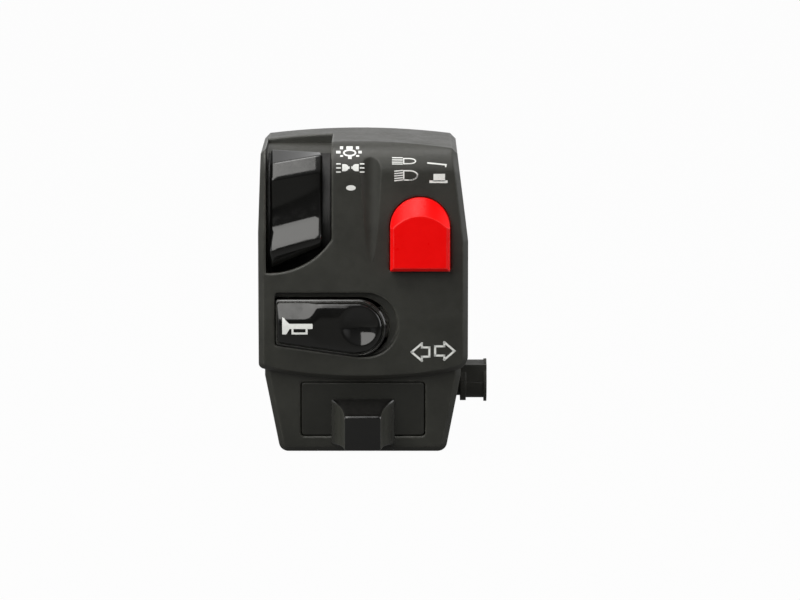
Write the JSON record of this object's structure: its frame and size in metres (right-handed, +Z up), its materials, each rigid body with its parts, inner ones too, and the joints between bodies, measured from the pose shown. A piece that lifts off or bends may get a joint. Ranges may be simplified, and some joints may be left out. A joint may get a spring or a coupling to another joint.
{
  "type": "handlebar switch",
  "caption": "Left motorcycle handlebar switch: two shells clamp round the bar; lights lever, red dimmer push button, horn key and turn signal slide.",
  "frame": {"origin": "on the handlebar axis, at the middle of the clamp", "axes": "+X inboard along the handlebar, -Y towards the rider, +Z up"},
  "size_m": [0.0622, 0.0503, 0.0851],
  "materials": {
    "housing": "satin black moulded plastic",
    "gloss_black": "polished black plastic",
    "panel": "satin black panel",
    "red_plastic": "bright red plastic",
    "bush": "black",
    "inner_plastic": "natural",
    "contact_plate": "brown laminate",
    "contact": "bare",
    "steel": "zinc plated",
    "symbols": "white printed symbols"
  },
  "bodies": {
    "housing": {"rear_housing": "housing", "front_housing": "housing", "housing_screws": "steel", "threaded_inserts": "contact", "light_contact_plate": "contact_plate", "light_fixed_contacts": "contact", "dimmer_case": "inner_plastic", "dimmer_base": "contact_plate", "dimmer_fixed_contacts": "contact", "dimmer_screws": "steel", "dimmer_spring": "steel", "horn_base": "inner_plastic", "horn_pivot_pin": "steel", "horn_fixed_contact": "contact", "horn_screws": "steel", "horn_spring": "steel", "turn_bezel": "panel", "turn_case": "inner_plastic", "turn_base": "contact_plate", "turn_fixed_contacts": "contact", "turn_screws": "steel", "harness_bush_upper": "bush", "harness_bush_lower": "bush", "harness_clamp": "steel", "harness_clamp_screws": "steel"},
    "lights": {"light_lever": "gloss_black", "light_carrier": "inner_plastic", "light_lever_screw": "steel", "light_detent_ball": "steel", "light_detent_spring": "steel", "light_moving_contact": "contact"},
    "dimmer": {"dimmer_button": "red_plastic", "dimmer_plunger": "inner_plastic", "dimmer_moving_contact": "contact"},
    "horn": {"horn_button": "gloss_black", "horn_moving_contact": "contact"},
    "turn": {"turn_knob": "gloss_black", "turn_knob_screw": "steel", "turn_carrier": "inner_plastic", "turn_detent_ball": "steel", "turn_detent_spring": "steel", "turn_moving_contact": "contact"}
  },
  "joints": [
    {"name": "lights_lever", "type": "hinge", "parent": "housing", "child": "lights", "pos_m": [-0.018, 0, 0], "axis": [-1, 0, 0], "range_deg": [0, 20]},
    {"name": "dimmer_push", "type": "slide", "parent": "housing", "child": "dimmer", "axis": [0, 1, 0], "range_m": [0, 0.003], "stiffness_N_per_m": 300, "springref_m": -0.004, "deforming": ["dimmer_spring"]},
    {"name": "horn_press", "type": "hinge", "parent": "housing", "child": "horn", "pos_m": [-0.0215, -0.0236, -0.0243], "axis": [0, 0, 1], "range_deg": [0, 6], "stiffness_Nm_per_rad": 0.12, "springref_deg": -8.59, "deforming": ["horn_spring"]},
    {"name": "turn_slide", "type": "slide", "parent": "housing", "child": "turn", "axis": [1, 0, 0], "range_m": [-0.004, 0.004]}
  ]
}
